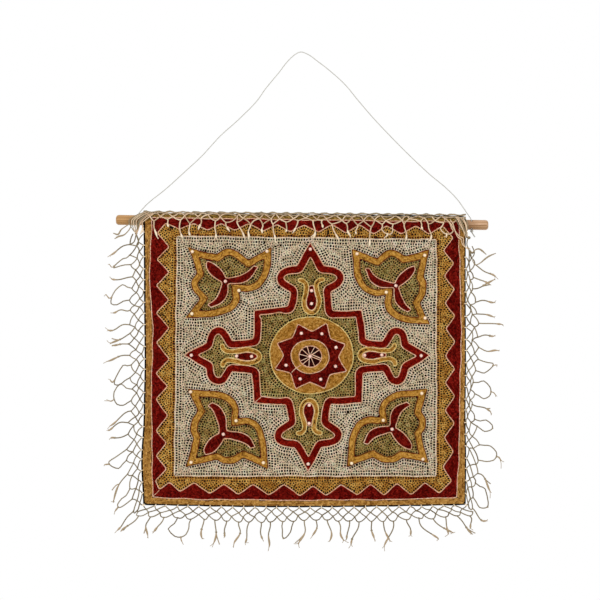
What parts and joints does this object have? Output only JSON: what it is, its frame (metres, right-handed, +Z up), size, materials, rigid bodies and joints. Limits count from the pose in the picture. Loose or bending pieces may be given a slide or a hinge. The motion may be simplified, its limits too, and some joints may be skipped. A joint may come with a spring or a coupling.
{
  "type": "embroidered wall tapestry on a wooden rod",
  "caption": "Chain-stitched hanging with a star medallion, corner flowers and zigzag border, on a wooden rod with a hanging cord and a knotted net fringe round its edges.",
  "frame": {"origin": "underside of the hanging cord at its highest point, where a nail or hook in the wall carries it", "axes": "+X along the rod to the viewer's right, +Y back towards the wall, +Z up; the worked face looks along -Y"},
  "size_m": [0.5125, 0.0211, 0.6444],
  "materials": {
    "worked_cloth": "matt cotton, chain-stitched all over",
    "rod_wood": "plain sanded wood",
    "fringe_string": "undyed twisted cotton string",
    "cord_string": "pale twisted cotton cord",
    "base_cloth": "black plain-woven cotton",
    "thread_cream": "cream cotton thread in open chain stitch",
    "thread_olive": "olive cotton thread in open chain stitch",
    "thread_gold": "ochre-gold cotton thread in chain stitch",
    "thread_red": "dark red cotton thread in close chain stitch",
    "thread_outline": "pale pink-beige cotton thread in outlines",
    "bead_pearl": "pearly pink-white glass or plastic beads"
  },
  "bodies": {
    "root": {"panel": "worked_cloth", "rod": "rod_wood", "fringe_left": "fringe_string", "fringe_right": "fringe_string", "fringe_bottom": "fringe_string", "fringe_top": "fringe_string", "hanging_cord": "cord_string", "cord_knot_left": "cord_string", "cord_knot_right": "cord_string"}
  },
  "joints": []
}
